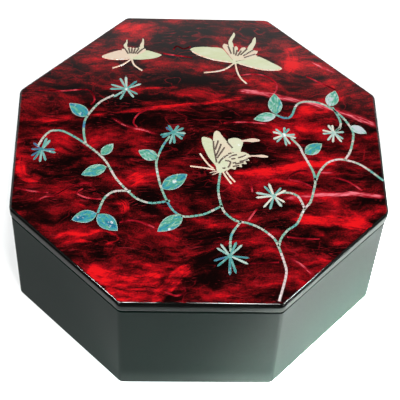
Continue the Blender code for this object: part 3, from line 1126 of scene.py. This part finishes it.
def makeButterfly(name, parts):
    s = butterflySizes
    plates = ShellPlates()
    rise = 0.0
    for wing, shade in zip(parts["wings"], parts["shades"]):
        flatOutline(plates, smoothPath(wing, closed=True, steps=s["edgeStep"]), shade, rise)
        rise += s["wingRise"]
    for number, (tip, width) in enumerate(parts["lobes"]):
        shade = parts["fanShade"] - s["lobeFade"] * (number % 3)
        addLeafShape(plates, parts["fan"], tip, width, shade, fanLobe, 10, 2, rise, 0.01)
        rise += s["lobeRise"]
    for path, widths in parts["tails"]:
        flatOutline(plates, tailOutline(path, widths), parts["tailShade"], rise)
        rise += s["lobeRise"]
    plates.piece(name, creamShell, "shell_inlay")

    # feelers lie in the shell's layer, and rims and engraved lines on it
    feelers = [smoothPath(path) for path in parts["feelers"]]
    makeRibbons(name + "Feelers", feelers, [s["feeler"]] * len(feelers),
                shellTop - 0.04 * mm, 0.08 * mm, warmShell)
    rims = [smoothPath(path) for path in parts["rims"]]
    if rims:
        makeRibbons(name + "Rims", rims, [s["rim"]] * len(rims),
                    lidTop - 0.022 * mm, 0.04 * mm, warmShell)
    lines = [smoothPath(path) for path in parts["lines"]]
    tips = [Vector(tip) for tip, width in parts["lobes"]]
    for tip, nextTip in zip(tips, tips[1:]):
        # a line between each two lobes of the fan
        fan, middle = Vector(parts["fan"]), (tip + nextTip) / 2
        lines.append([tuple(fan.lerp(middle, s[share])) for share in ("lineStart", "lineMiddle", "lineEnd")])
    makeRibbons(name + "Lines", lines, [parts["lineWidth"]] * len(lines),
                lidTop - 0.021 * mm, 0.04 * mm, engravedLine)


for name, parts in butterflies.items():
    makeButterfly(name, parts)
print("butterflies made")

# Floor, light and camera
stageSizes = {"floor": 6.0, "drop": 0.0003}
roomSizes = {"wallFrom": 0.755, "wallTo": 0.695, "front": 0.12, "back": 0.85, "turn": 0.3, "ceiling": 0.02}
lights = [
    # name, where it stands, what it points at, width, height, power, spread in degrees, colour
    ("keyLight", (1.10, -0.55, 1.25), (0, 0, 0.05), 0.40, 0.40, 22.0, 180, (1.0, 0.99, 0.97)),
    ("leftFill", (-0.75, -0.75, 1.30), (0, 0, 0.05), 0.70, 0.70, 21.0, 180, (0.98, 1.0, 1.0)),
    ("rightPool", (0.42, -0.37, 0.36), (0.135, -0.092, 0.0), 0.14, 0.06, 2.5, 14, (0.88, 1.0, 0.94)),
    ("frontPool", (0.0, -0.55, 0.36), (0.0, -0.135, 0.0), 0.14, 0.04, 0.07, 14, (0.75, 1.0, 0.92)),
    ("leftStrip", (-0.93, -0.165, 1.15), (-0.05, -0.09, 0.08), 0.04, 0.15, 2.5, 180, (1.0, 1.0, 1.0)),
    ("rightStrip", (1.15, -0.065, 1.38), (0, 0, 0.05), 0.05, 0.15, 4.5, 180, (1.0, 1.0, 1.0)),
    ("frontStrip", (0.132, -0.55, 1.70), (0, 0, 0.05), 0.072, 0.50, 8.0, 180, (1.0, 1.0, 1.0)),
    ("frontStripMiddle", (-0.021, -0.55, 1.70), (0, 0, 0.05), 0.010, 0.40, 0.5, 180, (1.0, 1.0, 1.0)),
    ("frontStripLeft", (-0.077, -0.60, 1.65), (0, 0, 0.05), 0.025, 0.40, 3.0, 180, (1.0, 1.0, 1.0)),
]
cameraSizes = {
    "azimuth": -3.6069, "elevation": 52.7275, "roll": 3.6337, "distance": 794.7 * mm,
    "target": (3.88 * mm, 26.04 * mm, 0.0), "lens": 118.27, "sensor": 36.0,
}


def makeFloor():
    reach = stageSizes["floor"] / 2
    low = -stageSizes["drop"]
    data = bpy.data.meshes.new("floor")
    data.from_pydata([(-reach, -reach, low), (reach, -reach, low), (reach, reach, low), (-reach, reach, low)],
                     [], [(0, 1, 2, 3)])
    material, tree, shader = newMaterial("palePaper")
    mottle = noise(tree, put(tree, "ShaderNodeTexCoord").outputs["Object"], 3.0, 3.0)
    colour = blendColour(tree, mottle, (0.86, 0.86, 0.86, 1), (0.9, 0.9, 0.9, 1))
    tree.links.new(colour, shader.inputs["Base Color"])
    setShader(shader, Roughness=0.9)
    data.materials.append(material)
    floor = bpy.data.objects.new("floor", data)
    bpy.context.collection.objects.link(floor)


def makeWorld():
    # a dark room above a pale wall, which is brighter at the back
    s = roomSizes
    world = bpy.data.worlds.new("studio")
    world.use_nodes = True
    tree = world.node_tree
    way = put(tree, "ShaderNodeTexCoord").outputs["Generated"]
    split = put(tree, "ShaderNodeSeparateXYZ", {0: way})
    low = between(tree, split.outputs["Z"], s["wallTo"], s["wallFrom"], 1.0, 0.0)
    back = between(tree, split.outputs["Y"], -s["turn"], s["turn"], s["front"], s["back"])
    level = plus(tree, times(tree, low, back), s["ceiling"])
    tree.links.new(level, tree.nodes["Background"].inputs["Strength"])
    tree.nodes["Background"].inputs["Color"].default_value = (1.0, 1.0, 1.0, 1.0)
    bpy.context.scene.world = world


def makeLights():
    for name, place, aim, width, height, power, spread, colour in lights:
        data = bpy.data.lights.new(name, "AREA")
        data.shape = "RECTANGLE"
        data.size = width
        data.size_y = height
        data.energy = power
        data.spread = math.radians(spread)
        data.color = colour
        light = bpy.data.objects.new(name, data)
        light.visible_camera = False
        light.location = place
        light.rotation_euler = (Vector(place) - Vector(aim)).to_track_quat("Z", "Y").to_euler()
        bpy.context.collection.objects.link(light)


def makeCamera():
    s = cameraSizes
    azimuth, elevation, roll = (math.radians(s[key]) for key in ("azimuth", "elevation", "roll"))
    back = Vector((math.sin(azimuth) * math.cos(elevation), -math.cos(azimuth) * math.cos(elevation),
                   math.sin(elevation)))
    level = (-back).cross(Vector((0, 0, 1))).normalized()
    upward = level.cross(-back)
    right = level * math.cos(roll) + upward * math.sin(roll)
    up = upward * math.cos(roll) - level * math.sin(roll)
    data = bpy.data.cameras.new("camera")
    data.sensor_width = s["sensor"]
    data.lens = s["lens"]
    camera = bpy.data.objects.new("camera", data)
    turn = Matrix((right, up, back)).transposed().to_4x4()
    camera.matrix_world = Matrix.Translation(Vector(s["target"]) + back * s["distance"]) @ turn
    bpy.context.collection.objects.link(camera)
    bpy.context.scene.camera = camera


makeFloor()
makeWorld()
makeLights()
makeCamera()
bpy.context.scene.view_settings.view_transform = "Standard"
print("stage made")
